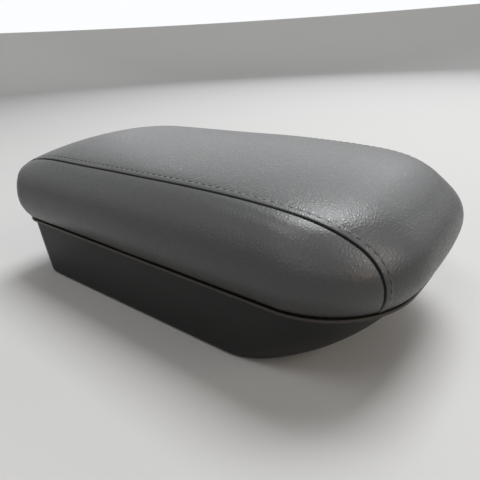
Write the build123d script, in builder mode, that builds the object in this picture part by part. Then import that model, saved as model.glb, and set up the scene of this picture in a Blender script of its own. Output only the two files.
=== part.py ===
from build123d import *
import math
import os

# Car centre armrest: a padded lid, hinged at the rear of a shallow moulded storage box.
# Frame: +X to the front, +Y to the left, +Z up, origin under the middle of the lid, on the floor.

# Lid, over the leather
LID_LENGTH = 310.0
LID_REAR_WIDTH = 158.0
LID_FRONT_WIDTH = 170.0
REAR_CORNER_R = 26.0
FRONT_CORNER_R = 58.0
LEAST_CORNER_R = 4.0
NOSE_BOW = 8.5
LID_UNDERSIDE = 50.0
TOTAL_HEIGHT = 107.0
BULGE_RISE = 16.0
EDGE_TUCK = 7.0
SHOULDER_TUCK = 18.5
CROWN_R = 340.0
REAR_RUN, REAR_DROP = 75.0, 16.8
FRONT_RUN, FRONT_DROP = 98.0, 33.0
SHOULDER_R = 18.0
CROWN_OVERRUN = 5.0

# Section of the cushion's side, as shares of height and of tuck: under the bulge, then from the bulge up
EDGE_SHARES = [(0.45, 0.31)]
SIDE_SHARES = [(0, 0), (0.29, 0.09), (0.54, 0.28), (0.73, 0.57), (0.90, 1.0), (1.07, 1.5)]

# Sewn cover
LEATHER = 1.2
HEM_WIDTH = 24.0
SEAM_HALF_GAP = 64.5
REAR_SEAM_ANGLE = 225.0
FRONT_SEAM_ANGLE = 324.0
REAR_SEAM_KNEE = 58.0
FRONT_SEAM_KNEE = 40.5

# Lid board and lining
BOARD_THICKNESS = 6.0
LINING_THICKNESS = 2.5
LINING_TUCK = 22.0
LINING_CORNER_R = 12.0

# Storage box
RIM_GAP = 1.4
BOX_TUCK = 8.6
WALL = 3.0
FLOOR_REAR_TUCK = 11.4
FLOOR_LENGTH = 232.0
FLOOR_WIDTH = 140.0
FLOOR_REAR_R = 20.0
FLOOR_FRONT_R = 42.0
FLOOR_EDGE_R = 3.5
BOW_BELLY = 6.0
RIM_OVERHANG = 2.6
RIM_THICKNESS = 1.8
RIM_EDGE_R = 0.7

# Hinge
HINGE_WIDTH = 90.0
KNUCKLES = 5
KNUCKLE_R = 2.6
KNUCKLE_GAP = 0.4
PIN_R = 1.5
PIN_CLEARANCE = 0.06
PIN_HEAD_R = 2.3
PIN_HEAD = 0.8
LEAF = 1.0
LID_LEAF_LENGTH = 22.0
LID_LEAF_SCREW_REACH = 13.0
BOX_LEAF_DEPTH = 17.0
BOX_LEAF_SCREW_DROP = 10.0
HINGE_SETBACK = 0.35
HINGE_LIFT = 0.4
HINGE_PAD = 5.0
HINGE_SIDE_GAP = 1.0

# Screws, all countersunk
SCREW_R = 1.4
SCREW_HEAD_R = 2.8
SCREW_LENGTH = 6.5
SCREW_CLEARANCE = 0.05
HEAD_ROOM = 1.0
LEAF_SCREWS = 3
LEAF_SCREW_PITCH = 36.0
LINING_SCREW_TUCK = 36.0
STRIKER_SCREW_PITCH = 26.0

# Magnetic catch
MAGNET = (30.0, 8.0, 5.0)
MAGNET_CLEARANCE = 0.1
MAGNET_CHAMFER = 0.4
TRAY_WALL = 2.5
CATCH_INSET = 19.0
STRIKER = (36.0, 12.0, 1.2)

# Bumpers
BUMPER_R = 4.0
BUMPER_STEM_R = 1.5
BUMPER_STEM = 6.0
BUMPER_TUCK = 7.2
BOSS_R = 4.6
BUMPER_FRONT_X = 70.0
BUMPER_REAR_X = -112.0

# Mounting plate and mat
PLATE = (150.0, 100.0, 2.0)
PLATE_CORNER_R = 8.0
PLATE_CENTRE_X = -50.0
BOLT_SPACING_X = 120.0
BOLT_SPACING_Y = 70.0
BOLT_HOLE_R = 2.75
RIVET_SPACING_X = 60.0
RIVET_R = 2.0
RIVET_HEAD_R = 3.6
RIVET_HEAD = 0.9
MAT_THICKNESS = 4.5
MAT_HOLE_R = 7.0
FIT = 0.3

# Places worked out from the sizes above
REAR_X = -LID_LENGTH / 2
FRONT_X = LID_LENGTH / 2
SIDE_SLOPE = (LID_FRONT_WIDTH - LID_REAR_WIDTH) / 2 / LID_LENGTH
RIM_TOP = LID_UNDERSIDE - RIM_GAP
BOARD_BOTTOM = LID_UNDERSIDE + LEATHER
BULGE_Z = LID_UNDERSIDE + BULGE_RISE
LINING_BOTTOM = LID_UNDERSIDE - LINING_THICKNESS
WALL_REAR_X = REAR_X + BOX_TUCK
HINGE_FACE_X = WALL_REAR_X + LEAF
HINGE_X = HINGE_FACE_X - KNUCKLE_R - HINGE_SETBACK
HINGE_Z = LID_UNDERSIDE - KNUCKLE_R - HINGE_LIFT
CATCH_X = FRONT_X - CATCH_INSET
FLOOR_REAR_X = REAR_X + FLOOR_REAR_TUCK
FLOOR_FRONT_X = FLOOR_REAR_X + FLOOR_LENGTH
HEM_TUCK = EDGE_TUCK + HEM_WIDTH

os.makedirs("parts", exist_ok=True)


def half_width(x, inset):
    """Half-width of the lid's plan at x, brought in by inset along the side's normal."""
    side = inset * math.sqrt(1 + SIDE_SLOPE**2)
    return LID_REAR_WIDTH / 2 + SIDE_SLOPE * (x - REAR_X) - side


def plan(z, rear, front, rear_half, front_half, rear_r, front_r, bow):
    """Outline with a straight rear, flaring sides, a bowed nose and rounded corners."""
    with BuildSketch(Plane.XY.offset(z)) as outline:
        with BuildLine():
            Polyline((front, -front_half), (rear, -rear_half), (rear, rear_half), (front, front_half))
            ThreePointArc((front, front_half), (front + bow, 0), (front, -front_half))
        make_face()
        fillet(outline.vertices().group_by(Axis.X)[0], rear_r)
        fillet(outline.vertices().group_by(Axis.X)[-1], front_r)
    return outline.sketch


def lid_plan(z, inset, least_r=LEAST_CORNER_R):
    """The lid's plan brought in by inset, at height z."""
    rear = REAR_X + inset
    front = FRONT_X - NOSE_BOW - inset
    rear_r = max(REAR_CORNER_R - inset, least_r)
    front_r = max(FRONT_CORNER_R - inset, least_r)
    return plan(
        z, rear, front, half_width(rear, inset), half_width(front, inset), rear_r, front_r, NOSE_BOW
    )


def crown(lowered):
    """Solid under the crowned top: a side profile with drooping ends, turned about a low axis."""
    top = TOTAL_HEIGHT - lowered
    rear, front = REAR_X - CROWN_OVERRUN, FRONT_X + CROWN_OVERRUN
    with BuildPart() as roof:
        with BuildSketch(Plane.XZ):
            with BuildLine():
                TangentArc((rear + REAR_RUN, top), (rear, top - REAR_DROP), tangent=(-1, 0))
                Polyline(
                    (rear, top - REAR_DROP),
                    (rear, LID_UNDERSIDE / 2),
                    (front, LID_UNDERSIDE / 2),
                    (front, top - FRONT_DROP),
                )
                TangentArc((front - FRONT_RUN, top), (front, top - FRONT_DROP), tangent=(1, 0))
                Line((rear + REAR_RUN, top), (front - FRONT_RUN, top))
            make_face()
        revolve(axis=Axis((0, 0, TOTAL_HEIGHT - CROWN_R), (1, 0, 0)), revolution_arc=360)
    return roof.part


def pad(shrink):
    """The cushion's form, bulging between a tucked lower edge and the crowned top, all brought in by shrink."""
    rise = TOTAL_HEIGHT - BULGE_Z
    sections = [(LID_UNDERSIDE + shrink, EDGE_TUCK)]
    sections += [(LID_UNDERSIDE + up * BULGE_RISE, tuck * EDGE_TUCK) for up, tuck in EDGE_SHARES]
    sections += [(BULGE_Z + up * rise, tuck * SHOULDER_TUCK) for up, tuck in SIDE_SHARES]
    with BuildPart() as cushion:
        loft([lid_plan(z, inset + shrink) for z, inset in sections])
        add(crown(shrink), mode=Mode.INTERSECT)
        roof = cushion.faces().filter_by(
            lambda f: f.geom_type in (GeomType.REVOLUTION, GeomType.TORUS, GeomType.CYLINDER)
        )
        shoulder = [
            e for e in cushion.edges() if sum(e.is_same(k) for f in roof for k in f.edges()) == 1
        ]
        fillet(shoulder, SHOULDER_R - shrink)
    return cushion.part


def on_corner(centre_x, radius, angle):
    """Point of the lid's widest outline on a rounded right-hand corner, and the corner's centre."""
    centre_y = -half_width(centre_x, radius)
    turn = math.radians(angle)
    return (
        (centre_x + radius * math.cos(turn), centre_y + radius * math.sin(turn)),
        (centre_x, centre_y),
    )


def beyond(point, centre, reach):
    """The point moved away from the centre by reach."""
    length = math.dist(point, centre)
    return tuple(p + (p - c) / length * reach for p, c in zip(point, centre))


def side_region():
    """Everything on the right of the seam: above the bulge it follows the shoulder, below it the corners."""
    rear_end, rear_centre = on_corner(REAR_X + REAR_CORNER_R, REAR_CORNER_R, REAR_SEAM_ANGLE)
    front_end, front_centre = on_corner(
        FRONT_X - NOSE_BOW - FRONT_CORNER_R, FRONT_CORNER_R, FRONT_SEAM_ANGLE
    )
    rear_knee = (REAR_X + REAR_SEAM_KNEE, -SEAM_HALF_GAP)
    front_knee = (FRONT_X - FRONT_SEAM_KNEE, -SEAM_HALF_GAP)
    rear_out = beyond(rear_end, rear_centre, LID_LENGTH / 4)
    front_out = beyond(front_end, front_centre, LID_LENGTH / 4)
    rear_in = beyond(rear_end, rear_centre, -REAR_CORNER_R - HEM_WIDTH)
    front_in = beyond(front_end, front_centre, -FRONT_CORNER_R - HEM_WIDTH)
    outside = [front_out, (front_out[0], -LID_LENGTH), (rear_out[0], -LID_LENGTH), rear_out]
    with BuildPart() as region:
        with BuildSketch(Plane.XY.offset(BULGE_Z)):
            with BuildLine():
                Line(rear_knee, front_knee)
                TangentArc(front_knee, front_end, tangent=(1, 0))
                Polyline(front_end, *outside, rear_end)
                TangentArc(rear_knee, rear_end, tangent=(-1, 0))
            make_face()
        extrude(amount=TOTAL_HEIGHT)
        with BuildSketch(Plane.XY):
            with BuildLine():
                Polyline(front_in, *outside, rear_in, close=True)
            make_face()
        extrude(amount=BULGE_Z)
    return region.part


def screw(under_head_z):
    """Countersunk screw that points up, with its head's flat face at under_head_z."""
    cone = SCREW_HEAD_R - SCREW_R
    with BuildPart() as body:
        with BuildSketch(Plane.XZ):
            with BuildLine():
                Polyline(
                    (0, under_head_z),
                    (SCREW_HEAD_R, under_head_z),
                    (SCREW_R, under_head_z + cone),
                    (SCREW_R, under_head_z + SCREW_LENGTH - SCREW_R),
                    (0, under_head_z + SCREW_LENGTH),
                    close=True,
                )
            make_face()
        revolve(axis=Axis.Z)
    return body.part


def screw_hole(under_head_z):
    """The hole that a screw leaves, wider by the screw clearance all round."""
    cone = SCREW_HEAD_R - SCREW_R
    shank = SCREW_R + SCREW_CLEARANCE
    with BuildPart() as bore:
        with BuildSketch(Plane.XZ):
            with BuildLine():
                Polyline(
                    (0, under_head_z - HEAD_ROOM),
                    (SCREW_HEAD_R + SCREW_CLEARANCE, under_head_z - HEAD_ROOM),
                    (SCREW_HEAD_R + SCREW_CLEARANCE, under_head_z + SCREW_CLEARANCE),
                    (shank, under_head_z + cone + SCREW_CLEARANCE),
                    (shank, under_head_z + SCREW_LENGTH + SCREW_CLEARANCE),
                    (0, under_head_z + SCREW_LENGTH + SCREW_CLEARANCE),
                    close=True,
                )
            make_face()
        revolve(axis=Axis.Z)
    return bore.part


# Where the screws go: spots on the lid's underside, and spots on the rear wall
LEAF_SCREW_YS = [(i - (LEAF_SCREWS - 1) / 2) * LEAF_SCREW_PITCH for i in range(LEAF_SCREWS)]
LID_LEAF_SCREW_X = HINGE_FACE_X + LID_LEAF_SCREW_REACH
BOX_LEAF_SCREW_Z = RIM_TOP - BOX_LEAF_SCREW_DROP
STRIKER_BOTTOM = LID_UNDERSIDE - STRIKER[2]
lid_leaf_spots = [(LID_LEAF_SCREW_X, y, LID_UNDERSIDE - LEAF) for y in LEAF_SCREW_YS]
striker_spots = [(CATCH_X, s * STRIKER_SCREW_PITCH / 2, STRIKER_BOTTOM) for s in (-1, 1)]
LINING_REAR = REAR_X + LINING_SCREW_TUCK
LINING_FRONT = FRONT_X - NOSE_BOW - FRONT_CORNER_R
lining_spots = [
    (x, s * half_width(x, LINING_SCREW_TUCK), LINING_BOTTOM)
    for x in (LINING_REAR, (LINING_REAR + LINING_FRONT) / 2, LINING_FRONT)
    for s in (-1, 1)
]
wall_spots = [Plane((HINGE_FACE_X - LEAF, y, BOX_LEAF_SCREW_Z), z_dir=(1, 0, 0)) for y in LEAF_SCREW_YS]


# Cushion core and its cover
outer_pad = pad(0.0)
inner_pad = pad(LEATHER)
right_region = side_region()

with BuildPart() as board:
    add(lid_plan(BOARD_BOTTOM, EDGE_TUCK + LEATHER))
    extrude(amount=BOARD_THICKNESS)
board_blank = board.part
with BuildPart() as lid_board:
    add(board_blank)
    for spot in lid_leaf_spots + striker_spots + lining_spots:
        with Locations((spot[0], spot[1], 0)):
            add(screw_hole(spot[2]), mode=Mode.SUBTRACT)
lid_board.part.label = "lid_board"
export_step(lid_board.part, "parts/lid_board.step")

with BuildPart() as lid_foam:
    add(inner_pad)
    add(board_blank, mode=Mode.SUBTRACT)
lid_foam.part.label = "lid_foam"
export_step(lid_foam.part, "parts/lid_foam.step")

with BuildPart() as cover:
    add(outer_pad)
    add(inner_pad, mode=Mode.SUBTRACT)
    extrude(lid_plan(LID_UNDERSIDE, HEM_TUCK), amount=LEATHER, mode=Mode.SUBTRACT)
    for spot in lid_leaf_spots + striker_spots:
        with Locations((spot[0], spot[1], 0)):
            add(screw_hole(spot[2]), mode=Mode.SUBTRACT)

with BuildPart() as lid_side_panel_right:
    add(cover.part)
    add(right_region, mode=Mode.INTERSECT)
lid_side_panel_right.part.label = "lid_side_panel_right"
export_step(lid_side_panel_right.part, "parts/lid_side_panel_right.step")

with BuildPart() as lid_side_panel_left:
    add(cover.part)
    add(mirror(right_region, about=Plane.XZ, mode=Mode.PRIVATE), mode=Mode.INTERSECT)
lid_side_panel_left.part.label = "lid_side_panel_left"
export_step(lid_side_panel_left.part, "parts/lid_side_panel_left.step")

with BuildPart() as lid_top_panel:
    add(cover.part)
    add(right_region, mode=Mode.SUBTRACT)
    add(mirror(right_region, about=Plane.XZ, mode=Mode.PRIVATE), mode=Mode.SUBTRACT)
lid_top_panel.part.label = "lid_top_panel"
export_step(lid_top_panel.part, "parts/lid_top_panel.step")

# Lining under the board, notched for the hinge leaf and for the catch
LEAF_NOTCH = HINGE_FACE_X + LID_LEAF_LENGTH + HINGE_SIDE_GAP
CATCH_NOTCH = CATCH_X - STRIKER[1] / 2 - TRAY_WALL - HINGE_SIDE_GAP
with BuildPart() as lid_lining:
    add(lid_plan(LINING_BOTTOM, LINING_TUCK, LINING_CORNER_R))
    extrude(amount=LINING_THICKNESS)
    with BuildSketch(Plane.XY.offset(LINING_BOTTOM)):
        with Locations((LEAF_NOTCH, 0)):
            Rectangle(LID_LENGTH, HINGE_WIDTH + 4 * HINGE_SIDE_GAP, align=(Align.MAX, Align.CENTER))
        with Locations((CATCH_NOTCH, 0)):
            Rectangle(LID_LENGTH, STRIKER[0] + 4 * TRAY_WALL, align=(Align.MIN, Align.CENTER))
    extrude(amount=LINING_THICKNESS, mode=Mode.SUBTRACT)
    for spot in lining_spots:
        with Locations((spot[0], spot[1], 0)):
            add(screw_hole(spot[2]), mode=Mode.SUBTRACT)
lid_lining.part.label = "lid_lining"
export_step(lid_lining.part, "parts/lid_lining.step")


def screw_set(spots):
    """One screw at each spot of the lid's underside."""
    with BuildPart() as screws:
        for spot in spots:
            with Locations((spot[0], spot[1], 0)):
                add(screw(spot[2]))
    return screws.part


lining_screws = screw_set(lining_spots)
lining_screws.label = "lining_screws"
export_step(lining_screws, "parts/lining_screws.step")

hinge_lid_screws = screw_set(lid_leaf_spots)
hinge_lid_screws.label = "hinge_lid_screws"
export_step(hinge_lid_screws, "parts/hinge_lid_screws.step")

striker_screws = screw_set(striker_spots)
striker_screws.label = "striker_screws"
export_step(striker_screws, "parts/striker_screws.step")

with BuildPart() as hinge_box_screws:
    for spot in wall_spots:
        add(spot * screw(0))
hinge_box_screws.part.label = "hinge_box_screws"
export_step(hinge_box_screws.part, "parts/hinge_box_screws.step")

with BuildPart() as catch_striker:
    with BuildSketch(Plane.XY.offset(STRIKER_BOTTOM)):
        with Locations((CATCH_X, 0)):
            RectangleRounded(STRIKER[1], STRIKER[0], STRIKER[1] / 4)
    extrude(amount=STRIKER[2])
    for spot in striker_spots:
        with Locations((spot[0], spot[1], 0)):
            add(screw_hole(spot[2]), mode=Mode.SUBTRACT)
catch_striker.part.label = "catch_striker"
export_step(catch_striker.part, "parts/catch_striker.step")


# Hinge: alternate knuckles on the two leaves
KNUCKLE_PITCH = HINGE_WIDTH / KNUCKLES
knuckle_ys = [(i - (KNUCKLES - 1) / 2) * KNUCKLE_PITCH for i in range(KNUCKLES)]


def barrel(ys, radius, length):
    """Round lengths across the part on the hinge axis, one at each y."""
    with BuildPart() as rounds:
        for y in ys:
            with BuildSketch(Plane.XZ.offset(-y - length / 2)):
                with Locations((HINGE_X, HINGE_Z)):
                    Circle(radius)
            extrude(amount=length)
    return rounds.part


def knuckle_room(ys):
    """Room for the other leaf's knuckles, one block round the axis at each y."""
    reach = 2 * (KNUCKLE_R + HINGE_SETBACK + HINGE_LIFT + LEAF)
    with BuildPart() as room:
        for y in ys:
            with Locations((HINGE_X, y, HINGE_Z)):
                Box(reach, KNUCKLE_PITCH + KNUCKLE_GAP, reach)
    return room.part


box_ys, lid_ys = knuckle_ys[0::2], knuckle_ys[1::2]
knuckle_length = KNUCKLE_PITCH - KNUCKLE_GAP
pin_bore = barrel([0], PIN_R + PIN_CLEARANCE, 2 * HINGE_WIDTH)

with BuildPart() as hinge_lid_leaf:
    with BuildSketch(Plane.XY.offset(LID_UNDERSIDE - LEAF)):
        with Locations((HINGE_X, 0)):
            Rectangle(
                HINGE_FACE_X - HINGE_X + LID_LEAF_LENGTH, HINGE_WIDTH, align=(Align.MIN, Align.CENTER)
            )
    extrude(amount=LEAF)
    add(knuckle_room(box_ys), mode=Mode.SUBTRACT)
    add(barrel(lid_ys, KNUCKLE_R, knuckle_length))
    add(pin_bore, mode=Mode.SUBTRACT)
    for spot in lid_leaf_spots:
        with Locations((spot[0], spot[1], 0)):
            add(screw_hole(spot[2]), mode=Mode.SUBTRACT)
hinge_lid_leaf.part.label = "hinge_lid_leaf"
export_step(hinge_lid_leaf.part, "parts/hinge_lid_leaf.step")

with BuildPart() as hinge_box_leaf:
    with BuildSketch(Plane.YZ.offset(HINGE_FACE_X - LEAF)):
        with Locations((0, HINGE_Z)):
            Rectangle(
                HINGE_WIDTH, BOX_LEAF_DEPTH - (RIM_TOP - HINGE_Z), align=(Align.CENTER, Align.MAX)
            )
    extrude(amount=LEAF)
    add(knuckle_room(lid_ys), mode=Mode.SUBTRACT)
    add(barrel(box_ys, KNUCKLE_R, knuckle_length))
    add(pin_bore, mode=Mode.SUBTRACT)
    for spot in wall_spots:
        add(spot * screw_hole(0), mode=Mode.SUBTRACT)
hinge_box_leaf.part.label = "hinge_box_leaf"
export_step(hinge_box_leaf.part, "parts/hinge_box_leaf.step")

with BuildPart() as hinge_pin:
    add(barrel([0], PIN_R, HINGE_WIDTH))
    head_y = (HINGE_WIDTH + PIN_HEAD) / 2
    add(barrel([-head_y, head_y], PIN_HEAD_R, PIN_HEAD))
hinge_pin.part.label = "hinge_pin"
export_step(hinge_pin.part, "parts/hinge_pin.step")


# Storage box
def box_plan(z, share, inset=0.0, front_inset=0.0):
    """Box outline at height z, with the form that it has at share of the way from the floor to the rim.

    The floor's outline turns into the rim's, and the front bellies out between them."""
    rim_rear, rim_front = REAR_X + BOX_TUCK, FRONT_X - NOSE_BOW - BOX_TUCK
    belly = 4 * BOW_BELLY * share * (1 - share)

    def mix(low, high):
        return low + share * (high - low)

    return plan(
        z,
        mix(FLOOR_REAR_X, rim_rear) + inset,
        mix(FLOOR_FRONT_X, rim_front) + belly - front_inset,
        mix(FLOOR_WIDTH / 2, half_width(rim_rear, BOX_TUCK)) - inset,
        mix(FLOOR_WIDTH / 2, half_width(rim_front, BOX_TUCK)) + belly / 3 - inset,
        mix(FLOOR_REAR_R, REAR_CORNER_R - BOX_TUCK) - inset,
        mix(FLOOR_FRONT_R, FRONT_CORNER_R - BOX_TUCK) - inset,
        NOSE_BOW,
    )


# The raked front wall is thicker along X than across itself
FRONT_RAKE = (FRONT_X - NOSE_BOW - BOX_TUCK - FLOOR_FRONT_X) / RIM_TOP
FRONT_WALL = WALL * math.sqrt(1 + FRONT_RAKE**2)

with BuildPart() as tub:
    loft([box_plan(share * RIM_TOP, share) for share in (0, 0.5, 1)])
    fillet(tub.faces().sort_by(Axis.Z)[0].edges(), FLOOR_EDGE_R)
tub_blank = tub.part

with BuildPart() as cavity:
    low = WALL / RIM_TOP
    loft([box_plan(share * RIM_TOP, share, WALL, FRONT_WALL) for share in (low, (1 + low) / 2, 1)])
    fillet(cavity.faces().sort_by(Axis.Z)[0].edges(), FLOOR_EDGE_R)

bumper_spots = [
    (x, s * half_width(x, BOX_TUCK + BUMPER_TUCK)) for x in (BUMPER_REAR_X, BUMPER_FRONT_X) for s in (-1, 1)
]
TRAY = (MAGNET[0] + 2 * TRAY_WALL, MAGNET[1] + 2 * TRAY_WALL)
MAGNET_FLOOR = RIM_TOP - MAGNET[2]

with BuildPart() as mouldings:
    with BuildSketch(Plane.XY):
        with Locations(*bumper_spots):
            Circle(BOSS_R)
        with Locations((CATCH_X, 0)):
            Rectangle(TRAY[1], TRAY[0])
    extrude(amount=RIM_TOP)
    with BuildSketch(Plane.XY.offset(RIM_TOP - BOX_LEAF_DEPTH)):
        with Locations((HINGE_FACE_X, 0)):
            Rectangle(WALL + HINGE_PAD, HINGE_WIDTH, align=(Align.MIN, Align.CENTER))
    extrude(amount=BOX_LEAF_DEPTH)
    add(tub_blank, mode=Mode.INTERSECT)

with BuildPart() as rim:
    extrude(box_plan(RIM_TOP, 1, -RIM_OVERHANG, -RIM_OVERHANG), amount=-RIM_THICKNESS)
    fillet(rim.faces().filter_by(Axis.Z).edges(), RIM_EDGE_R)

with BuildPart() as box_shell:
    add(tub_blank)
    add(rim.part)
    add(cavity.part, mode=Mode.SUBTRACT)
    add(mouldings.part)
    with BuildSketch(Plane.XY.offset(RIM_TOP)):
        with Locations((CATCH_X, 0)):
            Rectangle(MAGNET[1] + 2 * MAGNET_CLEARANCE, MAGNET[0] + 2 * MAGNET_CLEARANCE)
    extrude(amount=-MAGNET[2], mode=Mode.SUBTRACT)
    with BuildSketch(Plane.XY.offset(RIM_TOP)):
        with Locations(*bumper_spots):
            Circle(BUMPER_STEM_R)
    extrude(amount=-BUMPER_STEM - FIT, mode=Mode.SUBTRACT)
    with BuildSketch(Plane.XY.offset(RIM_TOP - BOX_LEAF_DEPTH - FIT)):
        with Locations((HINGE_FACE_X, 0)):
            Rectangle(LID_LENGTH, HINGE_WIDTH + 4 * HINGE_SIDE_GAP, align=(Align.MAX, Align.CENTER))
    extrude(amount=BOX_LEAF_DEPTH + LID_UNDERSIDE, mode=Mode.SUBTRACT)
    for spot in wall_spots:
        add(spot * screw_hole(0), mode=Mode.SUBTRACT)
    with BuildSketch(Plane.XY):
        with Locations((PLATE_CENTRE_X, 0)):
            with GridLocations(BOLT_SPACING_X, BOLT_SPACING_Y, 2, 2):
                Circle(BOLT_HOLE_R)
            with GridLocations(RIVET_SPACING_X, 0, 2, 1):
                Circle(RIVET_R)
    extrude(amount=WALL, mode=Mode.SUBTRACT)
box_shell.part.label = "box_shell"
export_step(box_shell.part, "parts/box_shell.step")

with BuildPart() as catch_magnet:
    with BuildSketch(Plane.XY.offset(MAGNET_FLOOR)):
        with Locations((CATCH_X, 0)):
            Rectangle(MAGNET[1], MAGNET[0])
    extrude(amount=MAGNET[2])
    chamfer(catch_magnet.faces().sort_by(Axis.Z)[-1].edges(), MAGNET_CHAMFER)
catch_magnet.part.label = "catch_magnet"
export_step(catch_magnet.part, "parts/catch_magnet.step")

with BuildPart() as rim_bumpers:
    with BuildSketch(Plane.XY.offset(RIM_TOP)):
        with Locations(*bumper_spots):
            Circle(BUMPER_R)
    extrude(amount=RIM_GAP)
    fillet(rim_bumpers.faces().filter_by(Axis.Z).group_by(Axis.Z)[-1].edges(), RIM_GAP / 4)
    with BuildSketch(Plane.XY.offset(RIM_TOP)):
        with Locations(*bumper_spots):
            Circle(BUMPER_STEM_R - SCREW_CLEARANCE)
    extrude(amount=-BUMPER_STEM)
rim_bumpers.part.label = "rim_bumpers"
export_step(rim_bumpers.part, "parts/rim_bumpers.step")

# Mounting plate riveted to the floor, and the mat over it
with BuildPart() as mounting_plate:
    with BuildSketch(Plane.XY.offset(WALL)):
        with Locations((PLATE_CENTRE_X, 0)):
            RectangleRounded(PLATE[0], PLATE[1], PLATE_CORNER_R)
            with GridLocations(BOLT_SPACING_X, BOLT_SPACING_Y, 2, 2):
                Circle(BOLT_HOLE_R, mode=Mode.SUBTRACT)
            with GridLocations(RIVET_SPACING_X, 0, 2, 1):
                Circle(RIVET_R, mode=Mode.SUBTRACT)
    extrude(amount=PLATE[2])
mounting_plate.part.label = "mounting_plate"
export_step(mounting_plate.part, "parts/mounting_plate.step")

with BuildPart() as plate_rivets:
    with BuildSketch(Plane.XY.offset(FIT)):
        with Locations((PLATE_CENTRE_X, 0)):
            with GridLocations(RIVET_SPACING_X, 0, 2, 1):
                Circle(RIVET_R - SCREW_CLEARANCE)
    extrude(amount=WALL + PLATE[2] - FIT)
    with BuildSketch(Plane.XY.offset(WALL + PLATE[2])):
        with Locations((PLATE_CENTRE_X, 0)):
            with GridLocations(RIVET_SPACING_X, 0, 2, 1):
                Circle(RIVET_HEAD_R)
    extrude(amount=RIVET_HEAD)
plate_rivets.part.label = "plate_rivets"
export_step(plate_rivets.part, "parts/plate_rivets.step")

with BuildPart() as floor_mat:
    extrude(box_plan(WALL, 0, WALL + FLOOR_EDGE_R, FRONT_WALL + FLOOR_EDGE_R), amount=MAT_THICKNESS)
    with BuildSketch(Plane.XY.offset(WALL)):
        with Locations(*bumper_spots):
            Circle(BOSS_R + FIT)
    extrude(amount=MAT_THICKNESS, mode=Mode.SUBTRACT)
    with BuildSketch(Plane.XY.offset(WALL)):
        with Locations((PLATE_CENTRE_X, 0)):
            RectangleRounded(PLATE[0] + 2 * FIT, PLATE[1] + 2 * FIT, PLATE_CORNER_R)
    extrude(amount=PLATE[2], mode=Mode.SUBTRACT)
    with BuildSketch(Plane.XY.offset(WALL)):
        with Locations((PLATE_CENTRE_X, 0)):
            with GridLocations(BOLT_SPACING_X, BOLT_SPACING_Y, 2, 2):
                Circle(MAT_HOLE_R)
            with GridLocations(RIVET_SPACING_X, 0, 2, 1):
                Circle(RIVET_HEAD_R + FIT)
    extrude(amount=MAT_THICKNESS, mode=Mode.SUBTRACT)
floor_mat.part.label = "floor_mat"
export_step(floor_mat.part, "parts/floor_mat.step")
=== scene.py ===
"""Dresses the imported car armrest: a sewn leatherette cover, procedural finishes, a studio and a camera.

All sizes are in metres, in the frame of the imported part: +X to the front, +Y to the left, +Z up.
"""

import math

import bmesh
import bpy
import numpy as np
from bpy.props import FloatProperty, FloatVectorProperty, PointerProperty
from bpy.types import NodeSocket, Operator, Panel, PropertyGroup
from mathutils import Matrix, Vector


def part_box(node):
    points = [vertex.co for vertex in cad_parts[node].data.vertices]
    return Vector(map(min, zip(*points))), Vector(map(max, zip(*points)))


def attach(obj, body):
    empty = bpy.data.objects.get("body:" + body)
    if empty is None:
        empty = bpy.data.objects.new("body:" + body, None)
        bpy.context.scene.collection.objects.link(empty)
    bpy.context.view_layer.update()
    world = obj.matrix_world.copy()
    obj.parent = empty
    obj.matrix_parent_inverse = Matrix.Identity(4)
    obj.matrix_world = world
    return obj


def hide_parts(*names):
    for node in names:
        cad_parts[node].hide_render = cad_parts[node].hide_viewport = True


bl_info = {
    "name": "Car centre armrest",
    "version": (1, 0, 0),
    "blender": (4, 5, 0),
    "location": "3D View > Sidebar > Armrest",
    "description": "Sewn cover, finishes and studio for a padded car armrest with a storage box",
    "category": "Object",
}

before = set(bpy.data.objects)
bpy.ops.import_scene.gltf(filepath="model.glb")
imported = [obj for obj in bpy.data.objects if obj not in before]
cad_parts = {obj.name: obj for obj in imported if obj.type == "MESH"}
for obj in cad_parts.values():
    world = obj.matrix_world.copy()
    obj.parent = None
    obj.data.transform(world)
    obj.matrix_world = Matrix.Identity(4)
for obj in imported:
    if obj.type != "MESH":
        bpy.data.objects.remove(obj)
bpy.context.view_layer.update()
COVER_LOW, COVER_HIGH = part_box("lid_top_panel")
# Band at the top of the box's rim with a painted highlight: its height, and the fade at its lower edge
RIM_HIGHLIGHT_HEIGHT, RIM_HIGHLIGHT_FADE = 0.0018, 0.0004
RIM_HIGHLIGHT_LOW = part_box("box_shell")[1].z - RIM_HIGHLIGHT_HEIGHT
LEATHER = "pebbled_leatherette"
SIDES = (("left", 1), ("right", -1))

# Points along the seam, and rows and columns of the panels
SEAM_POINTS = 1800
ROWS = 420
TOP_COLUMNS = 92
SIDE_COLUMNS = 64


# Sizes and colours that a user would change


def size(name, description, default):
    """A length in metres."""
    return FloatProperty(name=name, description=description, default=default, unit="LENGTH", precision=4)


def share(name, description, default):
    """A plain number from 0 to 1."""
    return FloatProperty(name=name, description=description, default=default, min=0.0, max=1.0)


def angle(name, description, degrees):
    """An angle, given here in degrees."""
    return FloatProperty(
        name=name, description=description, default=math.radians(degrees), subtype="ANGLE", unit="ROTATION"
    )


def colour(name, description, default):
    """A linear colour."""
    return FloatVectorProperty(
        name=name, description=description, default=default, size=3, subtype="COLOR", min=0.0, max=1.0
    )


def power(name, description, default):
    """A lamp's power in watts."""
    return FloatProperty(name=name, description=description, default=default, min=0.0, unit="POWER")


def place(name, description, default):
    """A point in the part's frame."""
    return FloatVectorProperty(
        name=name, description=description, default=default, size=3, subtype="TRANSLATION", unit="LENGTH"
    )


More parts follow.
